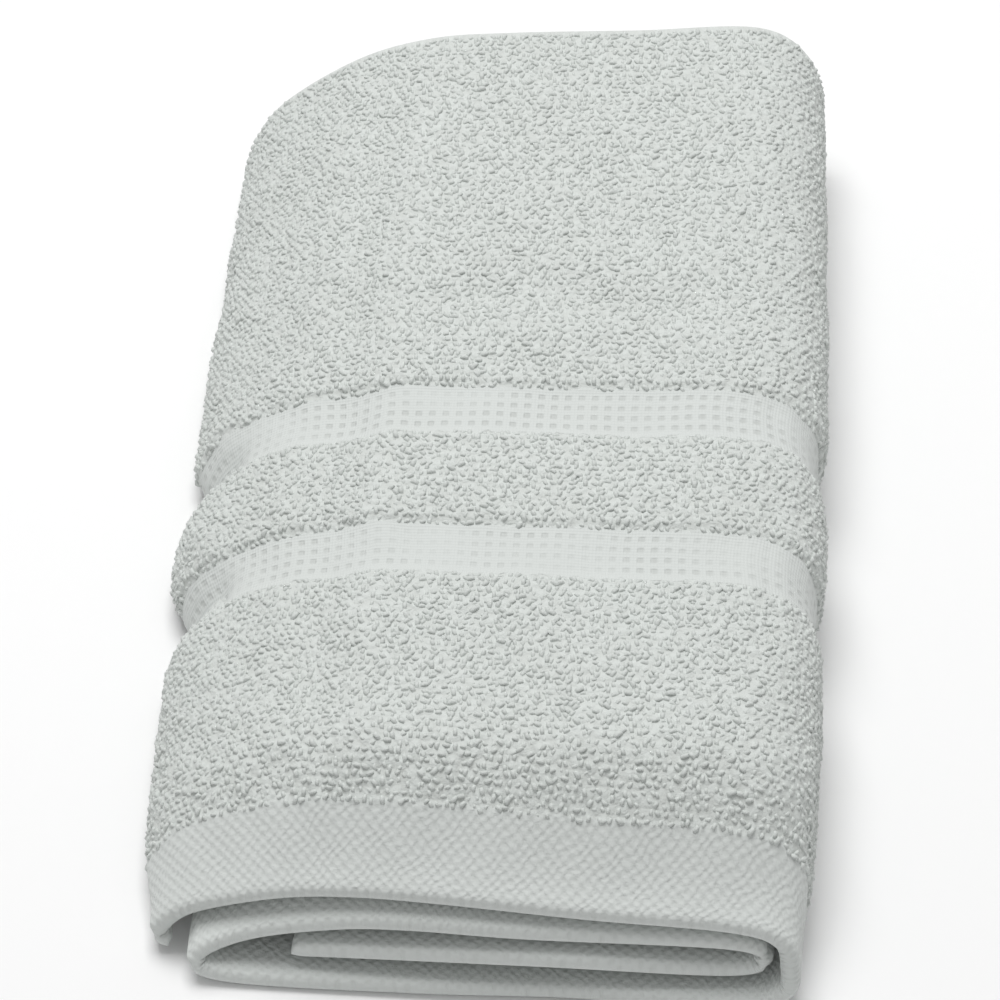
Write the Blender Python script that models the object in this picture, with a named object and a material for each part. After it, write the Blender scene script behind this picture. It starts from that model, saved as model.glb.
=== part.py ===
"""Terry washcloth, folded once crosswise and then over and over into four, lying flat.

Units are metres, +Z is up. The cloth is one sheet and one closed body. It is first folded in half
crosswise, so it is two plies thick: the outer ply, which shows, and the inner ply behind it, whose hem
stops short of the outer ply's hem. The double cloth is then folded over itself three times, from the
tucked edge outwards: a turn at the right, a turn at the left, a wide wrap at the right, and last the
flap, which drops over the left side.
The origin is in the middle of the underside. The hems are at -Y, the crosswise fold is at +Y.
"""

from typing import NamedTuple

import bpy
import numpy as np

MM = 0.001

# Driving dimensions
FOLDED_LENGTH = 155.0 * MM  # from the outer ply's hem edge to the middle of the crosswise fold
FOLDED_WIDTH = 87.0 * MM  # across the layers, from the flap to the wrap
TERRY_THICKNESS = 2.5 * MM  # ground weave with the loops of both faces
HEM_THICKNESS = 2.6 * MM  # turned hem, three layers of the flat border weave
BAND_THICKNESS = 1.5 * MM  # flat woven band between the terry stretches
HEM_WIDTH = 10.9 * MM
BAND_WIDTH = 9.0 * MM
FIRST_BAND = 47.4 * MM  # hem edge to the nearer edge of the first band
SECOND_BAND = 73.4 * MM
EDGE_SOFTNESS = 1.1 * MM  # length over which the loops rise beside a band or a hem
PRESSED_LENGTH = 22.0 * MM  # the layers lie closer together along this stretch at the hems
CREASE_PLACE = 100.0 * MM  # soft crosswise trough across the top
CREASE_WIDTH = 5.0 * MM
CREASE_DEPTH = 0.7 * MM
BAND_DIP = 0.5 * MM  # the stack sinks a little where every layer has its band
BAND_WAIST = 0.9 * MM  # the sides draw in at the bands
SIDE_SWELL = 1.3 * MM  # the sides swell out midway along the length
TURN_SQUEEZE = 0.45  # share of a tight turn's radius that the half thickness may take
PINCH_GAP = 0.3 * MM  # the cloth thins in the crosswise fold before its plies touch
CROSS_FOLD_STEPS = 5

CLOTH_COLOUR = (0.80, 0.83, 0.81, 1.0)
CLOTH_ROUGHNESS = 0.95


class Station(NamedTuple):
    """One place on the folded section, for both plies, in millimetres.

    steps: mesh steps from this station to the next.
    body_x, body_z, hem_x, hem_z: the outer ply's middle line away from the hems, and at the hems.
    in_body_x, in_body_z, in_hem_x, in_hem_z: the same for the inner ply.
    near: how far the outer ply's hem stands in front of the mean hem line.
    in_near: how far the inner ply's hem stays behind that line.
    far: how far the crosswise fold stays behind its mean line.
    """

    name: str
    steps: int
    body_x: float
    body_z: float
    hem_x: float
    hem_z: float
    in_body_x: float
    in_body_z: float
    in_hem_x: float
    in_hem_z: float
    near: float
    in_near: float
    far: float


SECTION = (
    Station("tucked edge", 2, -17.5, 7.5, -24.5, 4.75, -16.5, 10.5, -16.5, 10.5, 0.8, 22, 6),
    Station("tucked layer left", 2, -9.0, 7.5, -14.0, 5.6, -8.5, 10.5, -8.5, 10.5, 1.3, 22, 5),
    Station("tucked layer middle", 3, 9.0, 7.5, 8.0, 6.3, 10.0, 10.6, 10.0, 10.6, 1.7, 21, 4),
    Station("tucked layer right", 3, 28.6, 7.6, 32.0, 5.1, 27.3, 10.7, 27.3, 10.7, 0.8, 21, 4),
    Station("inner turn", 3, 34.3, 12.7, 36.6, 7.1, 30.6, 12.7, 30.6, 12.7, 0.2, 22, 4),
    Station("second layer right", 3, 28.6, 17.8, 32.0, 9.1, 27.3, 14.7, 27.3, 14.7, -0.4, 21, 4),
    Station("second layer middle", 2, 8.0, 17.8, 6.0, 10.0, 10.0, 14.7, 10.0, 14.7, 0.2, 20, 4),
    Station("second layer left", 2, -9.0, 17.7, -9.0, 10.2, -9.0, 14.6, -9.0, 14.6, -0.1, 20, 4),
    Station("left shoulder inside", 2, -19.5, 16.3, -19.0, 9.3, -19.0, 13.2, -19.0, 13.2, -0.3, 21, 4),
    Station("left slope inside", 3, -28.8, 12.8, -30.6, 6.4, -26.0, 10.2, -26.0, 10.2, -0.1, 21, 4),
    Station("left turn", 3, -35.4, 6.6, -36.7, 3.95, -30.1, 7.0, -30.1, 7.0, 2.0, 22, 4),
    Station("bottom left", 2, -29.0, 1.2, -32.6, 1.25, -27.2, 4.4, -27.2, 4.4, 3.0, 21, 4),
    Station("bottom middle left", 2, -8.0, 1.2, -8.0, 1.25, -8.0, 4.5, -8.0, 4.5, 3.3, 20, 3),
    Station("bottom middle right", 2, 12.0, 1.2, 12.0, 1.25, 12.0, 4.5, 12.0, 4.5, 2.8, 20, 2),
    Station("bottom right", 3, 31.5, 1.2, 33.0, 1.25, 30.5, 4.5, 30.5, 4.5, 3.5, 20, 1),
    Station("wrap low", 2, 39.0, 4.4, 39.4, 3.3, 36.1, 6.7, 36.1, 6.7, 3.0, 21, 0),
    Station("wrap", 2, 41.1, 12.0, 40.1, 7.0, 38.2, 12.6, 38.2, 12.6, 1.8, 22, -1),
    Station("wrap high", 3, 39.2, 20.2, 38.6, 10.9, 36.5, 18.3, 36.5, 18.3, 0.3, 21, -2),
    Station("top right", 2, 32.0, 24.2, 32.0, 12.4, 30.8, 21.1, 30.8, 21.1, -0.6, 20, -3.4),
    Station("top middle", 2, 14.0, 24.5, 14.0, 13.0, 14.0, 21.3, 14.0, 21.3, -1.0, 20, -1.4),
    Station("top crown", 2, -5.0, 24.5, -5.0, 13.5, -5.0, 21.3, -5.0, 21.3, -1.8, 20, 0.3),
    Station("top shoulder", 2, -17.0, 23.8, -16.5, 13.1, -16.0, 20.7, -16.0, 20.7, -2.4, 20, 1.5),
    Station("flap high", 3, -28.0, 20.4, -26.5, 11.3, -26.6, 17.4, -26.6, 17.4, -2.9, 21, 3),
    Station("flap", 3, -38.9, 13.4, -37.8, 7.4, -36.4, 11.5, -36.4, 11.5, -2.9, 22, 5.5),
    Station("flap low", 2, -43.2, 6.8, -42.2, 3.4, -40.0, 6.6, -40.0, 6.6, -2.2, 22, 7.5),
    Station("flap edge", 0, -43.6, 2.2, -41.0, 1.5, -40.4, 2.6, -40.4, 2.6, -1.8, 22, 9.5),
)


def smooth_step(value):
    """Eases from 0 to 1 while the value runs from 0 to 1."""
    held = np.clip(value, 0.0, 1.0)
    return held * held * (3.0 - 2.0 * held)


def station_places():
    """Parameter of every mesh column: station i is at i, with its steps evenly between it and the next."""
    places = [0.0]
    for index, station in enumerate(SECTION[:-1]):
        places.extend(index + (step + 1.0) / station.steps for step in range(station.steps))
    return np.array(places)


def through_stations(values, places):
    """Smooth curve through the stations' values (Catmull-Rom), read at the given places."""
    padded = np.concatenate(([2.0 * values[0] - values[1]], values, [2.0 * values[-1] - values[-2]]))
    start = np.minimum(places.astype(int), len(values) - 2)
    t = places - start
    before, here, after, beyond = (padded[start + shift] for shift in range(4))
    return 0.5 * (
        2.0 * here
        + (after - before) * t
        + (2.0 * before - 5.0 * here + 4.0 * after - beyond) * t**2
        + (3.0 * here - before - 3.0 * after + beyond) * t**3
    )


def column(name, places):
    """One column of the section table as a smooth curve, in metres."""
    values = np.array([getattr(station, name) for station in SECTION], dtype=float) * MM
    return through_stations(values, places)


def ply_rows(bands, hem_first):
    """Distances from the hem edge at which one ply has a mesh row, dense where its thickness changes."""
    rows = [0.0, 0.5 * HEM_WIDTH, HEM_WIDTH, HEM_WIDTH + EDGE_SOFTNESS]
    rows += [16.0 * MM, 20.0 * MM, 24.0 * MM, 35.0 * MM]
    for start in bands:
        end = start + BAND_WIDTH
        rows += [start - EDGE_SOFTNESS, start, end, end + EDGE_SOFTNESS]
    rows += [CREASE_PLACE - CREASE_WIDTH, CREASE_PLACE, CREASE_PLACE + CREASE_WIDTH, 118.0 * MM, 140.0 * MM]
    rows.append(FOLDED_LENGTH)
    return np.array(rows if hem_first else rows[::-1])


def thickness_at(distance):
    """Cloth thickness at a distance from the hem edge: hem, terry, band, terry, band, terry."""
    loops = smooth_step((distance - HEM_WIDTH) / EDGE_SOFTNESS)
    thickness = HEM_THICKNESS + (TERRY_THICKNESS - HEM_THICKNESS) * loops
    for start in (FIRST_BAND, SECOND_BAND):
        outside = np.maximum(start - distance, distance - start - BAND_WIDTH)
        thickness += (BAND_THICKNESS - TERRY_THICKNESS) * (1.0 - smooth_step(outside / EDGE_SOFTNESS))
    return thickness


def sink_at(distance):
    """How much the whole stack sinks at a distance from the hem edge: at the bands and at the trough."""
    sink = CREASE_DEPTH * np.exp(-(((distance - CREASE_PLACE) / CREASE_WIDTH) ** 2))
    for start in (FIRST_BAND, SECOND_BAND):
        middle = start + 0.5 * BAND_WIDTH
        sink = sink + BAND_DIP * np.exp(-(((distance - middle) / BAND_WIDTH) ** 2))
    return sink


def side_stretch(share, distance):
    """Factor on the widths: the sides swell out midway along the length and draw in at the bands."""
    waist = np.zeros_like(distance)
    for start in (FIRST_BAND, SECOND_BAND):
        middle = start + 0.5 * BAND_WIDTH
        waist += np.exp(-(((distance - middle) / (0.6 * BAND_WIDTH)) ** 2))
    half_width = 0.5 * FOLDED_WIDTH
    return 1.0 + (SIDE_SWELL * np.sin(np.pi * share) - BAND_WAIST * waist) / half_width


def middle_surface():
    """Points of the cloth's middle surface and its half thickness, one row for each line along the hem.

    Rows run from the outer ply's hem to the crosswise fold, round it, and back to the inner ply's hem.
    Columns run from the tucked edge to the flap's edge.
    """
    places = station_places()
    hem_line = -0.5 * FOLDED_LENGTH
    far_line = 0.5 * FOLDED_LENGTH - column("far", places)

    def ply(prefix, near_line, distances):
        share = distances[:, None] / FOLDED_LENGTH
        y = near_line[None, :] + share * (far_line - near_line)[None, :]
        body = smooth_step((y - hem_line) / PRESSED_LENGTH)
        hem_x, body_x = column(prefix + "hem_x", places), column(prefix + "body_x", places)
        hem_z, body_z = column(prefix + "hem_z", places), column(prefix + "body_z", places)
        x = (hem_x + (body_x - hem_x) * body) * side_stretch(share, distances[:, None])
        z = hem_z + (body_z - hem_z) * body
        z = z * (1.0 - sink_at(distances)[:, None] / np.max(body_z))
        return np.stack([x, y, z], axis=-1), thickness_at(distances)

    bands = (FIRST_BAND, SECOND_BAND)
    outer, outer_thickness = ply("", hem_line - column("near", places), ply_rows(bands, True))
    inner, inner_thickness = ply("in_", hem_line + column("in_near", places), ply_rows(bands, False))
    angles = np.linspace(0.0, np.pi, CROSS_FOLD_STEPS + 1)[1:-1]
    half_span = 0.5 * (outer[-1] - inner[0])
    centre = 0.5 * (outer[-1] + inner[0])
    reach = np.linalg.norm(half_span, axis=1)
    turn = centre[None] + np.cos(angles)[:, None, None] * half_span[None]
    turn[:, :, 1] += np.sin(angles)[:, None] * reach[None, :]
    half_turn = np.minimum(0.5 * TERRY_THICKNESS, reach - PINCH_GAP) * np.ones((len(angles), 1))
    half_outer = 0.5 * outer_thickness[:, None] * np.ones(len(places))
    half_inner = 0.5 * inner_thickness[:, None] * np.ones(len(places))
    return np.concatenate([outer, turn, inner]), np.concatenate([half_outer, half_turn, half_inner])


def surface_normals(points):
    """Unit normals of a grid of points, facing away from the fold's inside."""
    along = np.gradient(points, axis=0)
    across = np.gradient(points, axis=1)
    normals = np.cross(along, across)
    return normals / np.linalg.norm(normals, axis=-1, keepdims=True)


def squeezed(points, half_thickness):
    """Half thickness again, less where the cloth turns more tightly than it could at its full thickness."""
    run = np.linalg.norm(np.gradient(points, axis=1), axis=-1)
    turning = np.linalg.norm(np.gradient(surface_normals(points), axis=1), axis=-1)
    return np.minimum(half_thickness, TURN_SQUEEZE * run / np.maximum(turning, 1.0e-6))


def closed_sheet(points, half_thickness):
    """Vertices and faces of the sheet: an upper and a lower grid, joined by a strip along its rim."""
    rows, columns = points.shape[:2]
    offset = surface_normals(points) * squeezed(points, half_thickness)[..., None]
    vertices = np.concatenate([(points + offset).reshape(-1, 3), (points - offset).reshape(-1, 3)])
    vertices[:, :2] -= 0.5 * (vertices[:, :2].min(axis=0) + vertices[:, :2].max(axis=0))
    vertices[:, 2] = np.maximum(vertices[:, 2], 0.0)
    index = np.arange(rows * columns).reshape(rows, columns)
    a, b, c, d = index[:-1, :-1], index[1:, :-1], index[1:, 1:], index[:-1, 1:]
    upper = np.stack([a, b, c, d], axis=-1).reshape(-1, 4)
    lower = upper[:, ::-1] + rows * columns
    rim = np.concatenate([index[:-1, 0], index[-1, :-1], index[:0:-1, -1], index[0, :0:-1]])
    following = np.roll(rim, -1)
    strip = np.stack([following, rim, rim + rows * columns, following + rows * columns], axis=-1)
    return vertices, np.concatenate([upper, lower, strip])


def cloth_material():
    """White terry cotton with a faint green-grey cast."""
    material = bpy.data.materials.new("white terry")
    material.use_nodes = True
    shader = material.node_tree.nodes["Principled BSDF"]
    shader.inputs["Base Color"].default_value = CLOTH_COLOUR
    shader.inputs["Roughness"].default_value = CLOTH_ROUGHNESS
    shader.inputs["Metallic"].default_value = 0.0
    return material


def build_washcloth():
    """The folded cloth as one closed body."""
    vertices, faces = closed_sheet(*middle_surface())
    mesh = bpy.data.meshes.new("washcloth")
    mesh.from_pydata(vertices.tolist(), [], faces.tolist())
    mesh.materials.append(cloth_material())
    mesh.shade_smooth()
    mesh.set_sharp_from_angle(angle=np.radians(40.0))
    washcloth = bpy.data.objects.new("washcloth", mesh)
    bpy.context.scene.collection.objects.link(washcloth)
    return washcloth


for old in list(bpy.data.objects):
    bpy.data.objects.remove(old, do_unlink=True)
build_washcloth()
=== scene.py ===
"""Terry washcloth, folded crosswise and then over and over into a pad, dressed with its pile and weave.

The cloth is one sheet on the folds of its solid: a grid of rows along the hem direction and columns along
the folded section. It carries rows of small terry loops, two flat woven bands and a turned flat hem.
Sizes are in metres unless a name ends in _mm. +Z is up and the hems are at -Y.
"""

import logging
import math
from dataclasses import dataclass, field
from enum import Enum
from typing import NamedTuple

import bpy
import numpy as np
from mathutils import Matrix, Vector


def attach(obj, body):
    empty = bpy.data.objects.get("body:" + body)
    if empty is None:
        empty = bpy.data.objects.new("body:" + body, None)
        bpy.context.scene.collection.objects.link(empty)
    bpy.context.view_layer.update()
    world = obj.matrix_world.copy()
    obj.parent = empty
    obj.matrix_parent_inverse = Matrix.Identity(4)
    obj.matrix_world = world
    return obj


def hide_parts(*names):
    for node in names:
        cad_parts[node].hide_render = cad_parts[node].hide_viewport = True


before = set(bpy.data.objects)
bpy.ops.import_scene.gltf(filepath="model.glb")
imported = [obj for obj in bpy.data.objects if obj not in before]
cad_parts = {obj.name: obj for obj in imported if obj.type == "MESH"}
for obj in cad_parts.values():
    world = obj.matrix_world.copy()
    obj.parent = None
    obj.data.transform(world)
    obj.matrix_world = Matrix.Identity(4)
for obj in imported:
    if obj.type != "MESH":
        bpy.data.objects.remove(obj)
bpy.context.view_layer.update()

MM = 0.001
TAU = 2.0 * math.pi
log = logging.getLogger("washcloth")


class Station(NamedTuple):
    """One place on the folded section, for both plies, in millimetres.

    body and hem give the outer ply's middle line away from the hems and at the hems, in_body and in_hem
    the same for the inner ply. near is how far the outer hem stands in front of the mean hem line,
    in_near how far the inner hem stays behind it, and far how far the crosswise fold stays back.
    """

    name: str
    steps: int
    body_x: float
    body_z: float
    hem_x: float
    hem_z: float
    in_body_x: float
    in_body_z: float
    in_hem_x: float
    in_hem_z: float
    near: float
    in_near: float
    far: float


SECTION: tuple[Station, ...] = (
    Station("tucked edge", 2, -17.5, 7.5, -24.5, 4.75, -16.5, 10.5, -16.5, 10.5, 0.8, 22, 6),
    Station("tucked layer left", 2, -9.0, 7.5, -14.0, 5.6, -8.5, 10.5, -8.5, 10.5, 1.3, 22, 5),
    Station("tucked layer middle", 3, 9.0, 7.5, 8.0, 6.3, 10.0, 10.6, 10.0, 10.6, 1.7, 21, 4),
    Station("tucked layer right", 3, 28.6, 7.6, 32.0, 5.1, 27.3, 10.7, 27.3, 10.7, 0.8, 21, 4),
    Station("inner turn", 3, 34.3, 12.7, 36.6, 7.1, 30.6, 12.7, 30.6, 12.7, 0.2, 22, 4),
    Station("second layer right", 3, 28.6, 17.8, 32.0, 9.1, 27.3, 14.7, 27.3, 14.7, -0.4, 21, 4),
    Station("second layer middle", 2, 8.0, 17.8, 6.0, 10.0, 10.0, 14.7, 10.0, 14.7, 0.2, 20, 4),
    Station("second layer left", 2, -9.0, 17.7, -9.0, 10.2, -9.0, 14.6, -9.0, 14.6, -0.1, 20, 4),
    Station("left shoulder inside", 2, -19.5, 16.3, -19.0, 9.3, -19.0, 13.2, -19.0, 13.2, -0.3, 21, 4),
    Station("left slope inside", 3, -28.8, 12.8, -30.6, 6.4, -26.0, 10.2, -26.0, 10.2, -0.1, 21, 4),
    Station("left turn", 3, -35.4, 6.6, -36.7, 3.95, -30.1, 7.0, -30.1, 7.0, 2.0, 22, 4),
    Station("bottom left", 2, -29.0, 1.2, -32.6, 1.25, -27.2, 4.4, -27.2, 4.4, 3.0, 21, 4),
    Station("bottom middle left", 2, -8.0, 1.2, -8.0, 1.25, -8.0, 4.5, -8.0, 4.5, 3.3, 20, 3),
    Station("bottom middle right", 2, 12.0, 1.2, 12.0, 1.25, 12.0, 4.5, 12.0, 4.5, 2.8, 20, 2),
    Station("bottom right", 3, 31.5, 1.2, 33.0, 1.25, 30.5, 4.5, 30.5, 4.5, 3.5, 20, 1),
    Station("wrap low", 2, 39.0, 4.4, 39.4, 3.3, 36.1, 6.7, 36.1, 6.7, 3.0, 21, 0),
    Station("wrap", 2, 41.1, 12.0, 40.1, 7.0, 38.2, 12.6, 38.2, 12.6, 1.8, 22, -1),
    Station("wrap high", 3, 39.2, 20.2, 38.6, 10.9, 36.5, 18.3, 36.5, 18.3, 0.3, 21, -2),
    Station("top right", 2, 32.0, 24.2, 32.0, 12.4, 30.8, 21.1, 30.8, 21.1, -0.6, 20, -3.4),
    Station("top middle", 2, 14.0, 24.5, 14.0, 13.0, 14.0, 21.3, 14.0, 21.3, -1.0, 20, -1.4),
    Station("top crown", 2, -5.0, 24.5, -5.0, 13.5, -5.0, 21.3, -5.0, 21.3, -1.8, 20, 0.3),
    Station("top shoulder", 2, -17.0, 23.8, -16.5, 13.1, -16.0, 20.7, -16.0, 20.7, -2.4, 20, 1.5),
    Station("flap high", 3, -28.0, 20.4, -26.5, 11.3, -26.6, 17.4, -26.6, 17.4, -2.9, 21, 3),
    Station("flap", 3, -38.9, 13.4, -37.8, 7.4, -36.4, 11.5, -36.4, 11.5, -2.9, 22, 5.5),
    Station("flap low", 2, -43.2, 6.8, -42.2, 3.4, -40.0, 6.6, -40.0, 6.6, -2.2, 22, 7.5),
    Station("flap edge", 0, -43.6, 2.2, -41.0, 1.5, -40.4, 2.6, -40.4, 2.6, -1.8, 22, 9.5),
)


class Crease(NamedTuple):
    """A soft ridge (height above 0) or trough along a line on the cloth.

    Each end is given by its place along the section, counted in stations, and by its distance from the
    hem in millimetres. width_mm is the half width and height_mm the height at the middle.
    """

    name: str
    place: float
    distance_mm: float
    end_place: float
    end_distance_mm: float
    width_mm: float
    height_mm: float


CREASES = (
    Crease("ridge of the shoulder", 20.95, 18.0, 21.0, 152.0, 2.4, 0.45),
    Crease("swell of the flap between the bands", 23.4, 63.0, 25.0, 63.0, 5.0, 0.9),
    Crease("dip left of the shoulder", 21.6, 26.0, 21.55, 140.0, 4.0, -0.75),
    Crease("trough across the top", 20.3, 101.0, 18.3, 99.0, 2.6, -0.22),
    Crease("ridge in front of the trough", 20.4, 94.0, 18.4, 92.5, 3.4, 0.16),
    Crease("notch of the first band", 23.1, 50.0, 25.0, 50.0, 3.4, -2.4),
    Crease("notch of the second band", 23.1, 75.6, 25.0, 75.6, 3.4, -2.4),
    Crease("dent in the flap", 22.3, 96.0, 23.7, 88.0, 4.0, -0.5),
    Crease("far dent in the flap", 22.2, 128.0, 24.0, 121.0, 5.0, -0.4),
    Crease("streak at the right", 17.75, 30.0, 17.62, 138.0, 1.3, -0.2),
    Crease("second streak at the right", 18.15, 22.0, 18.05, 120.0, 1.5, -0.14),
    Crease("pucker above the hem", 18.9, 15.5, 18.3, 17.0, 2.2, -0.28),
    Crease("left pucker above the hem", 21.9, 15.0, 21.2, 18.5, 2.4, -0.25),
)


class Ply(Enum):
    """The two plies of the folded sheet; the value is the prefix of their columns in the section table."""

    OUTER = ""
    INNER = "in_"


def smooth_step(value: np.ndarray) -> np.ndarray:
    """Ease from 0 to 1 while the value runs from 0 to 1.

    Args:
        value: any array.

    Returns:
        3 v^2 - 2 v^3 of the value held between 0 and 1.
    """
    held = np.clip(value, 0.0, 1.0)
    return held * held * (3.0 - 2.0 * held)


def through_stations(values: np.ndarray, places: np.ndarray) -> np.ndarray:
    """Smooth curve through the stations' values.

    The formula is the Catmull-Rom cubic: between two stations the curve leaves each with half the
    difference of its two neighbours as slope.

    Args:
        values: one value for each station.
        places: where the curve is read, counted in stations.

    Returns:
        The curve's value at each place.
    """
    padded = np.concatenate(([2.0 * values[0] - values[1]], values, [2.0 * values[-1] - values[-2]]))
    start = np.minimum(places.astype(int), len(values) - 2)
    t = places - start
    before, here, after, beyond = (padded[start + shift] for shift in range(4))
    return 0.5 * (
        2.0 * here
        + (after - before) * t
        + (2.0 * before - 5.0 * here + 4.0 * after - beyond) * t**2
        + (3.0 * here - before - 3.0 * after + beyond) * t**3
    )


def unit(vectors: np.ndarray) -> np.ndarray:
    """Vectors along the last axis, divided by their lengths."""
    return vectors / np.maximum(np.linalg.norm(vectors, axis=-1, keepdims=True), 1.0e-12)


def mesh_piece(name: str, vertices: np.ndarray, faces: np.ndarray) -> bpy.types.Object:
    """Make a smooth-shaded object from arrays and put it into the scene.

    Args:
        name: the piece's name.
        vertices: points in metres, one row each.
        faces: four vertex numbers a row.

    Returns:
        The new object, at the origin.
    """
    mesh = bpy.data.meshes.new(name)
    mesh.vertices.add(len(vertices))
    mesh.vertices.foreach_set("co", vertices.astype(np.float32).ravel())
    mesh.loops.add(faces.size)
    mesh.loops.foreach_set("vertex_index", faces.astype(np.int32).ravel())
    mesh.polygons.add(len(faces))
    mesh.polygons.foreach_set("loop_start", np.arange(0, faces.size, 4, dtype=np.int32))
    mesh.update(calc_edges=True)
    mesh.validate()
    mesh.shade_smooth()
    piece = bpy.data.objects.new(name, mesh)
    bpy.context.scene.collection.objects.link(piece)
    return piece


@dataclass(frozen=True)
class ClothGrid:
    """The sheet as arrays: middle surface, outward normals, half thickness, and the cloth's own measures."""

    middle: np.ndarray
    normals: np.ndarray
    half: np.ndarray
    run: np.ndarray
    distance: np.ndarray
    outer_rows: int

    @property
    def face(self) -> np.ndarray:
        """Points of the face that lies outside on the outer ply."""
        return self.middle + self.normals * self.half[..., None]

    @property
    def back(self) -> np.ndarray:
        """Points of the other face."""
        return self.middle - self.normals * self.half[..., None]

    def read(self, values: np.ndarray, rows: np.ndarray, columns: np.ndarray) -> np.ndarray:
        """Read a grid of vectors between its points.

        The value is the mean of the four nearest grid points, weighted by nearness.

        Args:
            values: vectors on the grid.
            rows: row numbers with fractions.
            columns: column numbers with fractions.

        Returns:
            One vector for each pair.
        """
        low_row = np.clip(rows.astype(int), 0, values.shape[0] - 2)
        low_column = np.clip(columns.astype(int), 0, values.shape[1] - 2)
        u = (rows - low_row)[:, None]
        v = (columns - low_column)[:, None]
        near = values[low_row, low_column] * (1.0 - v) + values[low_row, low_column + 1] * v
        far = values[low_row + 1, low_column] * (1.0 - v) + values[low_row + 1, low_column + 1] * v
        return near * (1.0 - u) + far * u


@dataclass(frozen=True)
class ClothSizes:
    """Driving sizes of the folded washcloth."""

    folded_length: float = 155.0 * MM
    folded_width: float = 87.0 * MM
    terry_thickness: float = 2.5 * MM
    hem_thickness: float = 2.6 * MM
    band_thickness: float = 1.5 * MM
    hem_width: float = 10.9 * MM
    band_width: float = 9.0 * MM
    band_starts: tuple[float, float] = (47.4 * MM, 73.4 * MM)
    edge_softness: float = 1.1 * MM
    edge_radius: float = 1.25 * MM
    pressed_length: float = 22.0 * MM
    trough_place: float = 100.0 * MM
    trough_width: float = 5.0 * MM
    trough_depth: float = 0.45 * MM
    band_dip: float = 0.5 * MM
    band_waist: float = 0.9 * MM
    side_swell: float = 1.3 * MM
    pinch_gap: float = 0.3 * MM
    turn_squeeze: float = 0.8
    flat_size: tuple[float, float] = (325.0 * MM, 300.0 * MM)
    flap_shift: float = 2.8 * MM
    centre: tuple[float, float] = (-1.305 * MM, 1.334 * MM)


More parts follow.
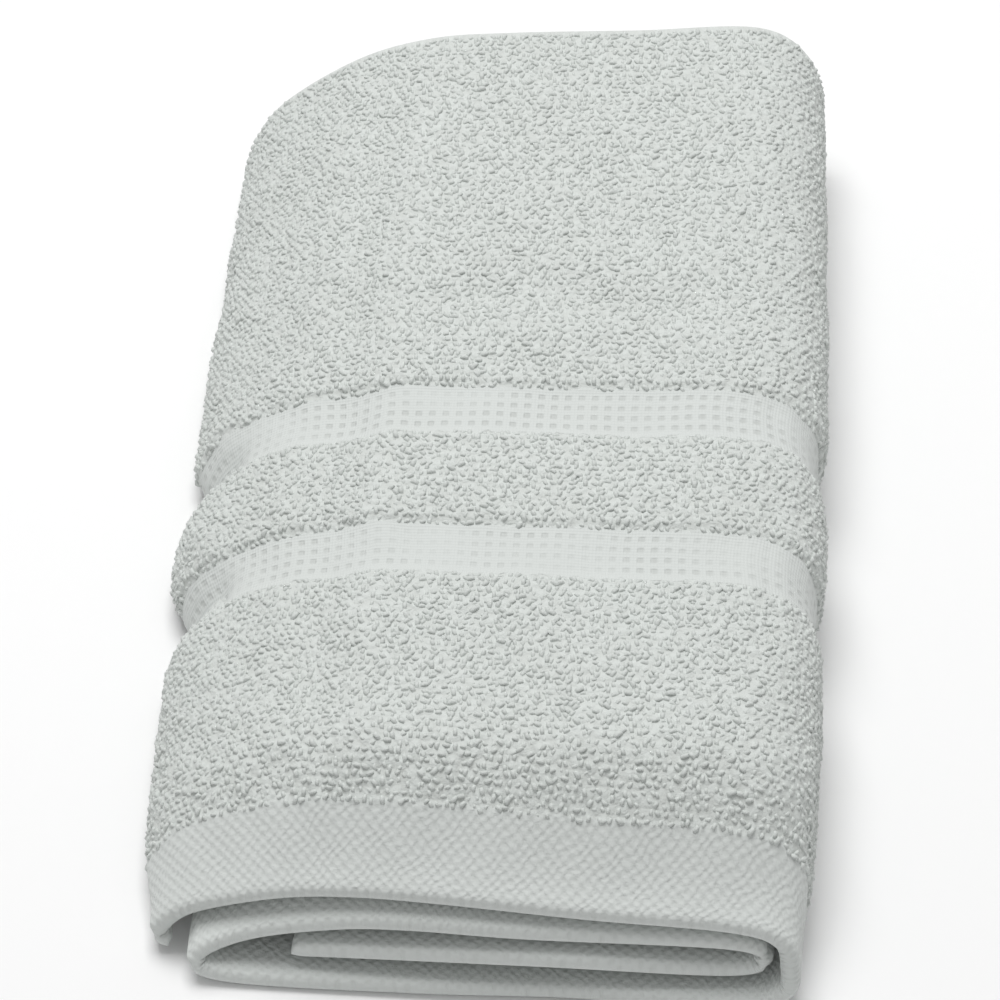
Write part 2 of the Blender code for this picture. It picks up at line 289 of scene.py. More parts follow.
@dataclass
class FoldedCloth:
    """The sheet of the washcloth on its folds."""

    sizes: ClothSizes = field(default_factory=ClothSizes)
    column_density: int = 4
    outer_spacing: float = 1.5 * MM
    inner_spacing: float = 5.0 * MM
    fold_rows: int = 7
    edge_clear: float = 1.3
    flap_place: float = 21.0
    relief_place: float = 14.0
    slow_wave: float = 0.16 * MM
    middle_wave: float = 0.09 * MM
    short_wave: float = 0.06 * MM

    def column(self, name: str, places: np.ndarray) -> np.ndarray:
        """One column of the section table as a smooth curve, in metres."""
        return through_stations(np.array([getattr(one, name) for one in SECTION], dtype=float) * MM, places)

    def section_run(self, places: np.ndarray) -> np.ndarray:
        """Length along the cloth's section from the tucked edge: the sum of the steps' lengths."""
        line = np.stack([self.column("body_x", places), self.column("body_z", places)], axis=-1)
        return np.concatenate([[0.0], np.cumsum(np.linalg.norm(np.diff(line, axis=0), axis=1))])

    def places(self) -> np.ndarray:
        """Places of the mesh columns, counted in stations, closer together at the two rounded edges.

        Returns:
            Places in rising order.
        """
        parts = [
            index + np.arange(one.steps * self.column_density) / (one.steps * self.column_density)
            for index, one in enumerate(SECTION[:-1])
        ]
        even = np.append(np.concatenate(parts), len(SECTION) - 1.0)
        run = self.section_run(even)
        rounding = self.sizes.edge_radius * (1.0 - np.cos(np.linspace(0.0, 0.5 * math.pi, 5)))
        ends = np.concatenate([rounding, run[-1] - rounding])
        clear = self.edge_clear * rounding[-1]
        inside = even[(run > clear) & (run < run[-1] - clear)]
        return np.unique(np.concatenate([np.interp(ends, run, even), inside]))

    def row_distances(self, spacing: float) -> np.ndarray:
        """Distances from the hem edge at which a ply has a row.

        Args:
            spacing: the usual distance between rows.

        Returns:
            Distances in rising order, closer together at the rounded edge and where the pile rises.
        """
        sizes = self.sizes
        rounding = sizes.edge_radius * (1.0 - np.cos(np.linspace(0.0, 0.5 * math.pi, 5)))
        borders = [sizes.hem_width + sizes.edge_softness * np.array([0.0, 0.5, 1.0])]
        for start in sizes.band_starts:
            rise = sizes.edge_softness * np.array([0.0, 0.5, 1.0])
            borders += [start - rise, start + sizes.band_width + rise]
        marks = np.concatenate(borders)
        first = self.edge_clear * sizes.edge_radius
        count = int(round((sizes.folded_length - first) / spacing))
        even = np.linspace(first + 0.4 * spacing, sizes.folded_length, count)
        clear = np.min(np.abs(even[:, None] - marks[None, :]), axis=1) > 0.25 * MM
        return np.unique(np.concatenate([rounding, marks, even[clear]]))

    def thickness(self, distance: np.ndarray) -> np.ndarray:
        """Cloth thickness by distance from the hem edge: flat hem, then terry with two flat bands.

        Args:
            distance: distances from the hem edge.

        Returns:
            The thickness, eased from one kind of cloth to the next.
        """
        sizes = self.sizes
        loops = smooth_step((distance - sizes.hem_width) / sizes.edge_softness)
        value = sizes.hem_thickness + (sizes.terry_thickness - sizes.hem_thickness) * loops
        for start in sizes.band_starts:
            outside = np.maximum(start - distance, distance - start - sizes.band_width)
            inside = 1.0 - smooth_step(outside / sizes.edge_softness)
            value = value + (sizes.band_thickness - sizes.terry_thickness) * inside
        return value

    def sink(self, distance: np.ndarray) -> np.ndarray:
        """How much the stack sinks: a bell curve at each band and at the trough across the top.

        Args:
            distance: distances from the hem edge.

        Returns:
            The drop in metres.
        """
        sizes = self.sizes
        value = sizes.trough_depth * np.exp(-(((distance - sizes.trough_place) / sizes.trough_width) ** 2))
        for start in sizes.band_starts:
            middle = start + 0.5 * sizes.band_width
            value = value + sizes.band_dip * np.exp(-(((distance - middle) / sizes.band_width) ** 2))
        return value

    def stretch(self, share: np.ndarray, distance: np.ndarray) -> np.ndarray:
        """Factor on the widths: one arch of a sine along the length, less a bell curve at each band.

        Args:
            share: share of the length from the hem to the fold.
            distance: distances from the hem edge.

        Returns:
            The factor.
        """
        sizes = self.sizes
        waist = np.zeros_like(distance)
        for start in sizes.band_starts:
            middle = start + 0.5 * sizes.band_width
            waist = waist + np.exp(-(((distance - middle) / (0.6 * sizes.band_width)) ** 2))
        swell = sizes.side_swell * np.sin(math.pi * share) - sizes.band_waist * waist
        return 1.0 + swell / (0.5 * sizes.folded_width)

    def ply(self, ply: Ply, places: np.ndarray, distances: np.ndarray) -> np.ndarray:
        """Middle surface of one ply.

        Each point goes straight from its hem place to its place at the crosswise fold along Y, while its
        X and Z ease from the hem's section to the body's section over the pressed length. The flap lies
        further back midway, by one arch of a sine.

        Args:
            ply: which ply.
            places: places of the columns, counted in stations.
            distances: distances of the rows from the ply's hem edge.

        Returns:
            Points, a row for each distance and a column for each place.
        """
        sizes = self.sizes
        hem_line = -0.5 * sizes.folded_length
        far_line = 0.5 * sizes.folded_length - self.column("far", places)
        if ply is Ply.OUTER:
            near_line = hem_line - self.column("near", places)
        else:
            near_line = hem_line + self.column("in_near", places)
        share = distances[:, None] / sizes.folded_length
        y = near_line[None, :] + share * (far_line - near_line)[None, :]
        on_flap = smooth_step((places - self.flap_place) / 3.0)[None, :]
        y = y + sizes.flap_shift * np.sin(math.pi * share) * on_flap
        body = smooth_step((y - hem_line) / sizes.pressed_length)
        ends = {key: self.column(ply.value + key, places) for key in ("hem_x", "hem_z", "body_x", "body_z")}
        x = ends["hem_x"] + (ends["body_x"] - ends["hem_x"]) * body
        z = ends["hem_z"] + (ends["body_z"] - ends["hem_z"]) * body
        tallest = max(one.body_z if ply is Ply.OUTER else one.in_body_z for one in SECTION) * MM
        z = z * (1.0 - self.sink(distances)[:, None] / tallest)
        return np.stack([x * self.stretch(share, distances[:, None]), y, z], axis=-1)

    def relief(self, places: np.ndarray, run: np.ndarray, distances: np.ndarray) -> np.ndarray:
        """Height of the outer ply's creases and unevenness, along the normal.

        A crease is a bell curve of the distance to its line. The unevenness is a sum of slow sines of the
        run and of the distance from the hem.

        Args:
            places: places of the columns, counted in stations.
            run: length along the section at each column.
            distances: distance of each row from the hem edge.

        Returns:
            Heights in metres, a row for each distance.
        """
        s, d = run[None, :], distances[:, None]
        height = self.slow_wave * np.sin(TAU * s / (33.0 * MM) + 1.4 * np.sin(TAU * d / (52.0 * MM)))
        height = height * np.cos(TAU * d / (41.0 * MM) + 0.7)
        height = height + self.middle_wave * np.sin(TAU * (s / (14.0 * MM) + d / (19.0 * MM)) + 0.4)
        height = height + self.short_wave * np.sin(TAU * (s / (7.3 * MM) - d / (10.1 * MM)))
        for crease in CREASES:
            start = np.array([np.interp(crease.place, places, run), crease.distance_mm * MM])
            end = np.array([np.interp(crease.end_place, places, run), crease.end_distance_mm * MM])
            line = end - start
            share = ((s - start[0]) * line[0] + (d - start[1]) * line[1]) / np.dot(line, line)
            held = np.clip(share, 0.0, 1.0)
            away = np.hypot(s - start[0] - held * line[0], d - start[1] - held * line[1])
            height = height + crease.height_mm * MM * np.exp(-((away / (crease.width_mm * MM)) ** 2))
        return height * smooth_step(d / (6.0 * MM))

    def rounded(self, away: np.ndarray) -> np.ndarray:
        """Factor on the thickness beside a free edge: a quarter circle over the edge radius."""
        inward = 1.0 - np.clip(away / self.sizes.edge_radius, 0.0, 1.0)
        return np.sqrt(np.clip(1.0 - inward**2, 0.015, 1.0))

    def grid(self) -> ClothGrid:
        """Work out the whole sheet: outer ply, half circle at the crosswise fold, inner ply.

        Returns:
            The grid of the sheet, centred on its solid.
        """
        sizes = self.sizes
        places = self.places()
        run = self.section_run(places)
        outer_distance = self.row_distances(self.outer_spacing)
        inner_distance = self.row_distances(self.inner_spacing)[::-1]
        outer = self.ply(Ply.OUTER, places, outer_distance)
        inner = self.ply(Ply.INNER, places, inner_distance)
        angles = np.linspace(0.0, math.pi, self.fold_rows + 2)[1:-1]
        half_span = 0.5 * (outer[-1] - inner[0])
        reach = np.linalg.norm(half_span, axis=1)
        turn = 0.5 * (outer[-1] + inner[0])[None] + np.cos(angles)[:, None, None] * half_span[None]
        turn[:, :, 1] += np.sin(angles)[:, None] * reach[None, :]
        middle = np.concatenate([outer, turn, inner])
        middle[:, :, :2] -= np.array(sizes.centre)

        fold_distance = np.full(len(angles), sizes.folded_length)
        distance = np.concatenate([outer_distance, fold_distance, inner_distance])
        half = 0.5 * self.thickness(distance)[:, None] * np.ones(len(places))
        turn_slice = slice(len(outer_distance), len(outer_distance) + len(angles))
        half[turn_slice] = np.minimum(0.5 * sizes.terry_thickness, reach - sizes.pinch_gap)
        normals = unit(np.cross(np.gradient(middle, axis=0), np.gradient(middle, axis=1)))
        step = np.linalg.norm(np.gradient(middle, axis=1), axis=-1)
        turning = np.linalg.norm(np.gradient(normals, axis=1), axis=-1)
        half = np.minimum(half, sizes.turn_squeeze * step / np.maximum(turning, 1.0e-6))
        edges = self.rounded(distance)[:, None] * self.rounded(np.minimum(run, run[-1] - run))[None, :]

        lifted = np.zeros_like(half)
        lifted[: len(outer_distance)] = self.relief(places, run, outer_distance)
        fade = smooth_step((sizes.folded_length - outer_distance) / (8.0 * MM))
        shown = smooth_step((places - self.relief_place) / 2.0)
        lifted[: len(outer_distance)] *= fade[:, None] * shown[None, :]
        middle = middle + normals * lifted[..., None]
        normals = unit(np.cross(np.gradient(middle, axis=0), np.gradient(middle, axis=1)))
        return ClothGrid(middle, normals, half * edges, run, distance, len(outer_distance))

    def build(self, grid: ClothGrid) -> bpy.types.Object:
        """Make the sheet: both faces of the grid, joined by a narrow strip around the rim.

        Args:
            grid: the sheet's arrays.

        Returns:
            The closed sheet, with its cloth measures as the UV map named cloth.
        """
        rows, columns = grid.half.shape
        vertices = np.concatenate([grid.face.reshape(-1, 3), grid.back.reshape(-1, 3)])
        vertices[:, 2] = np.maximum(vertices[:, 2], 0.0)
        index = np.arange(rows * columns).reshape(rows, columns)
        corner_grids = [index[:-1, :-1], index[1:, :-1], index[1:, 1:], index[:-1, 1:]]
        upper = np.stack(corner_grids, axis=-1).reshape(-1, 4)
        lower = upper[:, ::-1] + rows * columns
        rim = np.concatenate([index[:-1, 0], index[-1, :-1], index[:0:-1, -1], index[0, :0:-1]])
        following = np.roll(rim, -1)
        strip = np.stack([following, rim, rim + rows * columns, following + rows * columns], axis=-1)
        faces = np.concatenate([upper, lower, strip])
        sheet = mesh_piece("washcloth_sheet", vertices, faces)
        run = np.broadcast_to(grid.run, (rows, columns))
        distance = np.broadcast_to(grid.distance[:, None], (rows, columns))
        measures = np.stack([run, distance], axis=-1).reshape(-1, 2)
        corners = np.concatenate([measures, measures])[faces.ravel()]
        sheet.data.uv_layers.new(name="cloth").data.foreach_set("uv", corners.astype(np.float32).ravel())
        return sheet


class Stretch(Enum):
    """Stretches of terry that carry loops, each a piece of its own."""

    NEAR = "loops_near_the_hem"
    BETWEEN = "loops_between_the_bands"
    FAR = "loops_beyond_the_bands"
    FOLD = "loops_towards_the_fold"


@dataclass
class TerryLoops:
    """Rows of small yarn loops on the part of the outer ply that shows.

    They begin at first_place, counted in stations. The inner ply, the underside and the turned far end
    have no loops, only the relief of the sheet's material.
    """

    sizes: ClothSizes = field(default_factory=ClothSizes)
    pitch: float = 1.06 * MM
    loop_width: float = 0.74 * MM
    loop_height: float = 0.40 * MM
    yarn_radius: float = 0.26 * MM
    sunk: float = 0.30 * MM
    first_place: float = 14.6
    ragged_edge: float = 0.5 * MM
    turn_spread: float = 0.75
    mean_lean: float = 0.1
    lean_spread: float = 0.3
    size_spread: float = 0.13
    arch_points: int = 5
    yarn_sides: int = 4

    def limits(self, stretch: Stretch) -> tuple[float, float]:
        """Where a stretch of terry starts and ends, by distance from the hem edge.

        Args:
            stretch: which stretch.

        Returns:
            Its start and end in metres.
        """
        sizes = self.sizes
        first, second = sizes.band_starts
        beyond = second + sizes.band_width
        shared = 0.5 * (beyond + sizes.folded_length)
        return {
            Stretch.NEAR: (sizes.hem_width, first),
            Stretch.BETWEEN: (first + sizes.band_width, second),
            Stretch.FAR: (beyond, shared),
            Stretch.FOLD: (shared, sizes.folded_length + 1.2 * MM),
        }[stretch]

    def arch(self) -> tuple[np.ndarray, np.ndarray]:
        """One loop in its own frame.

        The yarn's middle line is a half ellipse, and round it runs a ring of a few points at each step.

        Returns:
            Its points, as along, sideways and up, and its faces.
        """
        angle = np.linspace(-0.12, 1.12, self.arch_points)[:, None] * math.pi
        around = (np.arange(self.yarn_sides) + 0.5)[None, :] / self.yarn_sides * TAU
        radius = self.yarn_radius * (1.0 + 0.25 * np.sin(angle))
        along = 0.5 * self.loop_width * np.cos(angle) + radius * np.cos(around) * np.cos(angle)
        up = self.loop_height * np.sin(angle) + radius * np.cos(around) * np.sin(angle)
        side = radius * np.sin(around) * np.ones_like(angle)
        points = np.stack([along, side, up], axis=-1).reshape(-1, 3)
        first = np.arange(self.arch_points - 1)[:, None] * self.yarn_sides
        here = first + np.arange(self.yarn_sides)[None, :]
        beside = first + (np.arange(self.yarn_sides)[None, :] + 1) % self.yarn_sides
        faces = np.stack([here, here + self.yarn_sides, beside + self.yarn_sides, beside], axis=-1)
        return points, faces.reshape(-1, 4)

    def build(self, grid: ClothGrid, places: np.ndarray, stretch: Stretch) -> bpy.types.Object:
        """Stand loops on one stretch of terry.

        Loops sit on a lattice with every second row shifted by half a pitch, each moved, turned, leaned
        and sized a little at random. A loop's points are its foot plus its along, sideways and up
        numbers times the surface's own directions there.

        Args:
            grid: the sheet's arrays.
            places: places of the grid's columns, counted in stations.
            stretch: which stretch of terry.

        Returns:
            The loops, joined in one object.
        """
        chance = np.random.default_rng(20 + list(Stretch).index(stretch))
        start, end = self.limits(stretch)
        first_run = float(np.interp(self.first_place, places, grid.run))
        run_marks = np.arange(first_run, grid.run[-1] - 0.3 * MM, self.pitch)
        row_marks = np.arange(start + 0.2 * MM, end, 0.86 * self.pitch)
        run, distance = np.meshgrid(run_marks, row_marks)
        run = run + 0.5 * self.pitch * (np.arange(len(row_marks)) % 2)[:, None]
        run = run + chance.normal(0.0, 0.17 * self.pitch, run.shape)
        distance = distance + chance.normal(0.0, 0.15 * self.pitch, run.shape)
        waves = np.sin(run / (2.1 * MM)) + np.sin(run / (0.83 * MM) + 1.0)
        ragged = self.ragged_edge * waves * chance.random(run.shape)
        keep = (run < grid.run[-1] - 0.1 * MM) & (distance > start - 0.25 * MM + ragged) & (distance < end)
        if stretch is not Stretch.FOLD:
            keep &= distance < end - 0.15 * MM + 0.5 * ragged
        run, distance = run[keep], distance[keep]

        rows = np.interp(distance, grid.distance[: grid.outer_rows], np.arange(grid.outer_rows))
        columns = np.interp(run, grid.run, np.arange(len(grid.run)))
        foot = grid.read(grid.face, rows, columns)
        up = unit(grid.read(grid.normals, rows, columns))
        along = unit(grid.read(np.gradient(grid.middle, axis=0), rows, columns))
        side = unit(np.cross(up, along))
        count = len(run)
        turn = chance.normal(0.0, self.turn_spread, count)[:, None]
        ahead = np.cos(turn) * along + np.sin(turn) * side
        lean_ahead = chance.normal(0.0, self.lean_spread, count)[:, None]
        lean_aside = chance.normal(self.mean_lean, self.lean_spread, count)[:, None]
        stand = unit(up + (lean_ahead * along + lean_aside * side))
        across = unit(np.cross(stand, ahead))
        ahead = np.cross(across, stand)
        size = chance.normal(1.0, self.size_spread, (count, 1, 1)).clip(0.65, 1.4)

        points, faces = self.arch()
        placed = points[None] * size
        vertices = (foot - self.sunk * up)[:, None, :]
        vertices = vertices + placed[..., :1] * ahead[:, None] + placed[..., 1:2] * across[:, None]
        vertices = vertices + placed[..., 2:] * stand[:, None]
        numbers = faces[None] + (np.arange(count) * len(points))[:, None, None]
        flat = vertices.reshape(-1, 3)
        flat[:, 2] = np.maximum(flat[:, 2], 0.0)
        piece = mesh_piece(stretch.value, flat, numbers.reshape(-1, 4))
        tone = np.repeat(chance.random(count), len(points)).astype(np.float32)
        piece.data.attributes.new("tone", "FLOAT", "POINT").data.foreach_set("value", tone)
        return piece


@dataclass
class NodeBench:
    """A small workbench that adds nodes to one material."""

    tree: bpy.types.NodeTree

    def node(self, kind: str, **settings: object) -> bpy.types.Node:
        """Add a node and set its properties.

        Args:
            kind: the node's type name.
            settings: properties by name.

        Returns:
            The node.
        """
        made = self.tree.nodes.new(kind)
        for name, value in settings.items():
            setattr(made, name, value)
        return made

    def plug(self, socket: bpy.types.NodeSocket, value: object) -> None:
        """Link a socket to the value if that is a socket too, or set it.

        Args:
            socket: an input socket.
            value: a socket, or a number or colour.
        """
        if isinstance(value, bpy.types.NodeSocket):
            self.tree.links.new(value, socket)
        else:
            socket.default_value = value

    def math(self, operation: str, *values: object) -> bpy.types.NodeSocket:
        """Add a math node.

        Args:
            operation: its operation.
            values: numbers or sockets, in order.

        Returns:
            Its result.
        """
        made = self.node("ShaderNodeMath", operation=operation)
        for socket, value in zip(made.inputs, values):
            self.plug(socket, value)
        return made.outputs[0]

    def eased(self, value: object, low: float, high: float) -> bpy.types.NodeSocket:
        """0 at low and 1 at high, eased between them; low may be above high.

        Args:
            value: a number or socket.
            low: where the result is 0.
            high: where the result is 1.

        Returns:
            The eased value.
        """
        made = self.node("ShaderNodeMapRange", interpolation_type="SMOOTHSTEP")
        self.plug(made.inputs["Value"], value)
        flipped = low > high
        made.inputs["From Min"].default_value = min(low, high)
        made.inputs["From Max"].default_value = max(low, high)
        made.inputs["To Min"].default_value = 1.0 if flipped else 0.0
        made.inputs["To Max"].default_value = 0.0 if flipped else 1.0
        return made.outputs["Result"]

    def noise(self, vector: object, scale: float, detail: float = 2.0) -> bpy.types.NodeSocket:
        """A noise texture's value at a vector.

        Args:
            vector: where it is read.
            scale: its scale.
            detail: its number of finer layers.

        Returns:
            The value, from 0 to 1.
        """
        made = self.node("ShaderNodeTexNoise")
        self.plug(made.inputs["Vector"], vector)
        made.inputs["Scale"].default_value = scale
        made.inputs["Detail"].default_value = detail
        return made.outputs["Fac"]

    def mix(self, share: object, first: object, second: object) -> bpy.types.NodeSocket:
        """Mix two colours by a share.

        Args:
            share: 0 for the first and 1 for the second.
            first: a colour or socket.
            second: a colour or socket.

        Returns:
            The mixed colour.
        """
        made = self.node("ShaderNodeMix", data_type="RGBA")
        self.plug(made.inputs[0], share)
        self.plug(made.inputs[6], first)
        self.plug(made.inputs[7], second)
        return made.outputs[2]


@dataclass(frozen=True)
class CottonFinish:
    """White cotton with a faint green-grey cast, as terry, as flat woven band and as flat woven hem, with
    painted shade in their hollows.
    """

    terry: tuple[float, float, float, float] = (0.672, 0.702, 0.680, 1.0)
    # painted shade: the terry's colour in the hollows between loops; also the dark end of its random mottle
    terry_shade_and_mottle: tuple[float, float, float, float] = (0.625, 0.650, 0.626, 1.0)
    flat_weave: tuple[float, float, float, float] = (0.655, 0.682, 0.664, 1.0)
    # painted shade: the flat weave's colour in the band's sunk squares and in the hem's weave hollows
    weave_hollow_shade: tuple[float, float, float, float] = (0.555, 0.578, 0.558, 1.0)
    yarn: tuple[float, float, float, float] = (0.672, 0.702, 0.680, 1.0)
    yarn_shade: tuple[float, float, float, float] = (0.625, 0.652, 0.630, 1.0)
    roughness: float = 0.95
    sheen: float = 0.18
    loop_pitch: float = 1.2 * MM
    square_pitch: float = 1.85 * MM
    hem_pitch: float = 1.55 * MM
    square_rows: int = 4
    square_depth: float = 0.13 * MM
    rib_pitch: float = 0.46 * MM
    thread_pitch: float = 0.52 * MM
    thread_relief: float = 0.014 * MM
    cell_relief: float = 0.42 * MM
    ground_relief: float = 0.16 * MM
    hem_drift: float = 1.6 * MM
    hem_relief: float = 0.07 * MM
    hem_fibres: float = 0.12 * MM
    yarn_fibres: float = 0.07 * MM
    ragged_border: float = 1.5 * MM

    def shader(self, material: bpy.types.Material) -> bpy.types.Node:
        """Set the uniform numbers on the material's own shader.

        Args:
            material: a new material.

        Returns:
            Its shader.
        """
        material.use_nodes = True
        shader = material.node_tree.nodes["Principled BSDF"]
        shader.inputs["Roughness"].default_value = self.roughness
        shader.inputs["Sheen Weight"].default_value = self.sheen
        shader.inputs["Sheen Roughness"].default_value = 0.6
        shader.inputs["Specular IOR Level"].default_value = 0.15
        return shader

    def cloth(self, sizes: ClothSizes) -> bpy.types.Material:
        """The sheet's material: terry, two bands and the hem by the cloth's own measures, with painted shade
        in their hollows.

        Args:
            sizes: where the hem and the bands lie.

        Returns:
            The material.
        """
        material = bpy.data.materials.new("terry_with_woven_bands")
        shader = self.shader(material)
        bench = NodeBench(material.node_tree)
        measures = bench.node("ShaderNodeUVMap", uv_map="cloth").outputs["UV"]
        parts = bench.node("ShaderNodeSeparateXYZ")
        bench.plug(parts.inputs[0], measures)
        run, distance = parts.outputs["X"], parts.outputs["Y"]
        place = bench.node("ShaderNodeTexCoord").outputs["Object"]

        uneven = bench.noise(measures, 620.0, 3.0)
        ragged = bench.math("MULTIPLY_ADD", uneven, self.ragged_border, -0.5 * self.ragged_border)
        edge = bench.math("ADD", distance, ragged)
        hem = bench.eased(edge, sizes.hem_width + 0.55 * MM, sizes.hem_width)
        bands = []
        for start in sizes.band_starts:
            away = bench.math("ABSOLUTE", bench.math("SUBTRACT", edge, start + 0.5 * sizes.band_width))
            half = 0.5 * sizes.band_width
            bands.append(bench.eased(away, half + 0.2 * MM, half - 0.3 * MM))
        band = bench.math("MAXIMUM", *bands)
        flat = bench.math("MAXIMUM", hem, band)

        terry_height, hollow_shade = self.terry_height(bench, measures, place)
        band_height, squares = self.band_height(bench, run, distance, sizes)
        hem_height, check_shade = self.hem_height(bench, run, distance)
        terry_part = bench.math("MULTIPLY", terry_height, bench.math("SUBTRACT", 1.0, flat))
        band_part = bench.math("MULTIPLY", band_height, band)
        hem_part = bench.math("MULTIPLY", hem_height, hem)
        height = bench.math("ADD", bench.math("ADD", terry_part, band_part), hem_part)
        bump = bench.node("ShaderNodeBump")
        bump.inputs["Strength"].default_value = 1.0
        bump.inputs["Distance"].default_value = 1.0
        bench.plug(bump.inputs["Height"], height)
        bench.plug(shader.inputs["Normal"], bump.outputs["Normal"])

        # painted shade: the terry is darker in the hollows between the loops
        terry_colour = bench.mix(hollow_shade, self.terry, self.terry_shade_and_mottle)
        # painted shade: the band is darker in its sunk squares and the hem darker in its weave hollows
        dip_shade = bench.math("ADD", bench.math("MULTIPLY", squares, band), bench.math("MULTIPLY", check_shade, hem))
        weave_colour = bench.mix(dip_shade, self.flat_weave, self.weave_hollow_shade)
        colour = bench.mix(flat, terry_colour, weave_colour)
        cloudy = bench.eased(bench.noise(place, 55.0, 3.0), 0.35, 0.75)
        shade = bench.math("MULTIPLY", cloudy, 0.22)
        bench.plug(shader.inputs["Base Color"], bench.mix(shade, colour, self.terry_shade_and_mottle))
        return material

    def terry_height(
        self, bench: NodeBench, measures: bpy.types.NodeSocket, place: bpy.types.NodeSocket
    ) -> tuple[bpy.types.NodeSocket, bpy.types.NodeSocket]:
        """Relief of the ground under the loops.

        Rounded cells at the loops' pitch, lower towards their borders, with finer noise over them.

        Args:
            bench: the material's workbench.
            measures: the cloth's own measures.
            place: the object's coordinates.

        Returns:
            The height in metres and the share of painted shade, darkest in the hollows between the loops.
        """
        cells = bench.node("ShaderNodeTexVoronoi", feature="SMOOTH_F1")
        bench.plug(cells.inputs["Vector"], measures)
        cells.inputs["Scale"].default_value = 1.0 / self.loop_pitch
        cells.inputs["Smoothness"].default_value = 0.35
        away = cells.outputs["Distance"]
        fine = bench.noise(place, 2600.0, 3.0)
        ground = bench.math("MULTIPLY", fine, self.ground_relief)
        height = bench.math("MULTIPLY_ADD", away, -self.cell_relief, ground)
        # painted shade: the share grows towards the cells' borders, where the ground lies lowest
        return height, bench.math("MULTIPLY", bench.eased(away, 0.35, 0.75), 0.8)

    def band_height(
        self,
        bench: NodeBench,
        run: bpy.types.NodeSocket,
        distance: bpy.types.NodeSocket,
        sizes: ClothSizes,
    ) -> tuple[bpy.types.NodeSocket, bpy.types.NodeSocket]:
        """Relief of a woven band: fine ribs and four rows of small sunk squares.

        A square lies where the fractions of both measures, counted in square pitches, are near a half.

        Args:
            bench: the material's workbench.
            run: length along the section.
            distance: distance from the hem edge.
            sizes: where the bands lie.

        Returns:
            The height in metres and the share of painted shade in the sunk squares.
        """
        first, second = sizes.band_starts
        margin = 0.5 * (sizes.band_width - self.square_rows * self.square_pitch)
        half_rows = 0.5 * self.square_rows * self.square_pitch
        later = bench.math("GREATER_THAN", distance, 0.5 * (first + sizes.band_width + second))
        offset = bench.math("MULTIPLY_ADD", later, second - first, first + margin)
        within = bench.math("SUBTRACT", distance, offset)
        shares = []
        for value in (run, within):
            part = bench.math("FRACT", bench.math("DIVIDE", value, self.square_pitch))
            away = bench.math("ABSOLUTE", bench.math("SUBTRACT", part, 0.5))
            shares.append(bench.eased(away, 0.34, 0.1))
        from_middle = bench.math("ABSOLUTE", bench.math("SUBTRACT", within, half_rows))
        inside = bench.math("LESS_THAN", from_middle, half_rows)
        squares = bench.math("MULTIPLY", bench.math("MULTIPLY", *shares), inside)
        both = bench.node("ShaderNodeCombineXYZ")
        bench.plug(both.inputs[0], run)
        bench.plug(both.inputs[1], distance)
        # Noise makes some squares shallower and their painted shade fainter, at random.
        worn = bench.eased(bench.noise(both.outputs[0], 60.0, 2.0), 0.38, 0.62)
        squares = bench.math("MULTIPLY", squares, bench.math("MULTIPLY_ADD", worn, 0.75, 0.25))
        ribs = bench.math("SINE", bench.math("MULTIPLY", run, TAU / self.rib_pitch))
        threads = bench.math("SINE", bench.math("MULTIPLY", distance, TAU / self.thread_pitch))
        weave = bench.math("MULTIPLY", bench.math("ADD", ribs, threads), self.thread_relief)
        height = bench.math("MULTIPLY_ADD", squares, -self.square_depth, weave)
        # painted shade: the sunk squares' share darkens the band's colour
        return height, bench.math("MULTIPLY", squares, 0.9)

    def hem_height(
        self, bench: NodeBench, run: bpy.types.NodeSocket, distance: bpy.types.NodeSocket
    ) -> tuple[bpy.types.NodeSocket, bpy.types.NodeSocket]:
        """Relief of the hem's weave: the product of a sine of the run and one of the distance.

        Its knobs lie in diagonal rows, drawn a little out of line by noise.

        Args:
            bench: the material's workbench.
            run: length along the section.
            distance: distance from the hem edge.

        Returns:
            The height in metres and the share of painted shade in the weave's hollows.
        """
        turn = TAU / self.hem_pitch
        both = bench.node("ShaderNodeCombineXYZ")
        bench.plug(both.inputs[0], run)
        bench.plug(both.inputs[1], distance)
        drift = bench.math("MULTIPLY", bench.noise(both.outputs[0], 300.0, 2.0), self.hem_drift)
        across = bench.math("SINE", bench.math("MULTIPLY", bench.math("ADD", run, drift), turn))
        along = bench.math("SINE", bench.math("MULTIPLY", bench.math("ADD", distance, drift), turn))
        product = bench.math("MULTIPLY", across, along)
        fibres = bench.noise(both.outputs[0], 2400.0, 2.0)
        fuzz = bench.math("MULTIPLY", fibres, self.hem_fibres)
        height = bench.math("MULTIPLY_ADD", product, self.hem_relief, fuzz)
        # painted shade: the share grows where the knobs' product is low, in the weave's hollows
        return height, bench.math("MULTIPLY", bench.eased(product, 0.1, -0.8), 0.4)

    def loops(self) -> bpy.types.Material:
        """The loops' material: each loop has its own slight tone, with a fine fibre relief.

        Returns:
            The material.
        """
        material = bpy.data.materials.new("terry_yarn")
        shader = self.shader(material)
        bench = NodeBench(material.node_tree)
        tone = bench.node("ShaderNodeAttribute", attribute_name="tone").outputs["Fac"]
        place = bench.node("ShaderNodeTexCoord").outputs["Object"]
        cloudy = bench.eased(bench.noise(place, 55.0, 3.0), 0.35, 0.75)
        share = bench.math("MULTIPLY_ADD", cloudy, 0.35, bench.math("MULTIPLY", tone, 0.5))
        bench.plug(shader.inputs["Base Color"], bench.mix(share, self.yarn, self.yarn_shade))
        bump = bench.node("ShaderNodeBump")
        bump.inputs["Strength"].default_value = 1.0
        bump.inputs["Distance"].default_value = 1.0
        fibres = bench.math("MULTIPLY", bench.noise(place, 5200.0, 2.0), self.yarn_fibres)
        bench.plug(bump.inputs["Height"], fibres)
        bench.plug(shader.inputs["Normal"], bump.outputs["Normal"])
        return material


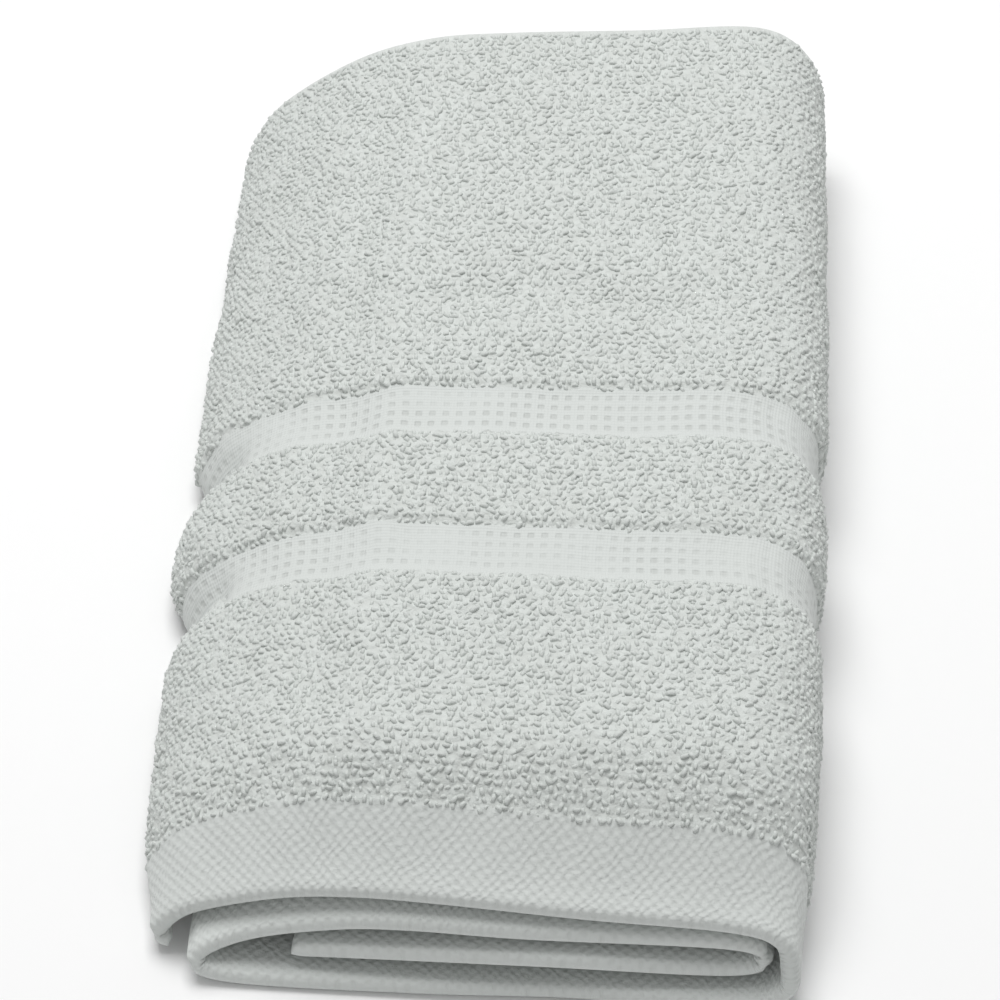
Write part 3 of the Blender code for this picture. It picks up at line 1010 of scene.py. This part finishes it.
@dataclass
class Studio:
    """Pale floor, soft light and the camera."""

    floor_half: float = 3.0
    floor_colour: tuple[float, float, float, float] = (0.93, 0.93, 0.93, 1.0)
    sky_strength: float = 0.42
    overhead_power: float = 7.9
    overhead_size: float = 0.6
    overhead_at: tuple[float, float, float] = (-0.1, 0.3, 0.98)
    camera_at: tuple[float, float, float] = (23.627 * MM, -401.093 * MM, 452.33 * MM)
    camera_turn: tuple[float, float] = (42.0, 3.5)
    focal_px: float = 4231.0
    frame_px: float = 1000.0
    sensor: float = 36.0

    def floor(self) -> bpy.types.Object:
        """The floor: one flat square at the height of the cloth's underside.

        Returns:
            The floor.
        """
        h = self.floor_half
        corners = np.array([[-h, -h, 0.0], [h, -h, 0.0], [h, h, 0.0], [-h, h, 0.0]])
        floor = mesh_piece("floor", corners, np.array([[0, 1, 2, 3]]))
        material = bpy.data.materials.new("pale_floor")
        material.use_nodes = True
        shader = material.node_tree.nodes["Principled BSDF"]
        shader.inputs["Base Color"].default_value = self.floor_colour
        shader.inputs["Roughness"].default_value = 0.9
        floor.data.materials.append(material)
        return floor

    def lights(self) -> None:
        """Even white surroundings and one large soft light above and behind."""
        world = bpy.data.worlds.new("white_surroundings")
        world.use_nodes = True
        world.node_tree.nodes["Background"].inputs["Color"].default_value = (1.0, 1.0, 1.0, 1.0)
        world.node_tree.nodes["Background"].inputs["Strength"].default_value = self.sky_strength
        bpy.context.scene.world = world
        lamp = bpy.data.lights.new("overhead_softbox", "AREA")
        lamp.energy = self.overhead_power
        lamp.size = self.overhead_size
        softbox = bpy.data.objects.new("overhead_softbox", lamp)
        softbox.location = self.overhead_at
        softbox.rotation_euler = Vector(self.overhead_at).to_track_quat("Z", "Y").to_euler()
        bpy.context.scene.collection.objects.link(softbox)
        bpy.context.scene.view_settings.view_transform = "Standard"

    def camera(self) -> None:
        """The camera at the photograph's viewing angle."""
        lens = bpy.data.cameras.new("camera")
        lens.sensor_width = self.sensor
        lens.lens = self.focal_px * self.sensor / self.frame_px
        lens.clip_start = 0.01
        camera = bpy.data.objects.new("camera", lens)
        camera.location = self.camera_at
        tilt, turn = self.camera_turn
        camera.rotation_euler = (math.radians(tilt), 0.0, math.radians(turn))
        bpy.context.scene.collection.objects.link(camera)
        bpy.context.scene.camera = camera


def main() -> None:
    """Build the cloth, its loops and the studio, and say what each piece belongs to."""
    logging.basicConfig(level=logging.INFO, format="%(name)s: %(message)s")
    cloth = FoldedCloth()
    finish = CottonFinish()
    grid = cloth.grid()
    sheet = cloth.build(grid)
    sheet.data.materials.append(finish.cloth(cloth.sizes))
    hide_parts("washcloth")
    log.info("%s: %d faces", sheet.name, len(sheet.data.polygons))

    yarn = finish.loops()
    terry = TerryLoops(cloth.sizes)
    loops = [terry.build(grid, cloth.places(), stretch) for stretch in Stretch]
    for piece in loops:
        piece.data.materials.append(yarn)
        log.info("%s: %d faces", piece.name, len(piece.data.polygons))
    for piece in [sheet, *loops]:
        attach(piece, "root")

    studio = Studio()
    studio.floor()
    studio.lights()
    studio.camera()
    log.info("studio ready")


if __name__ == "__main__":
    main()
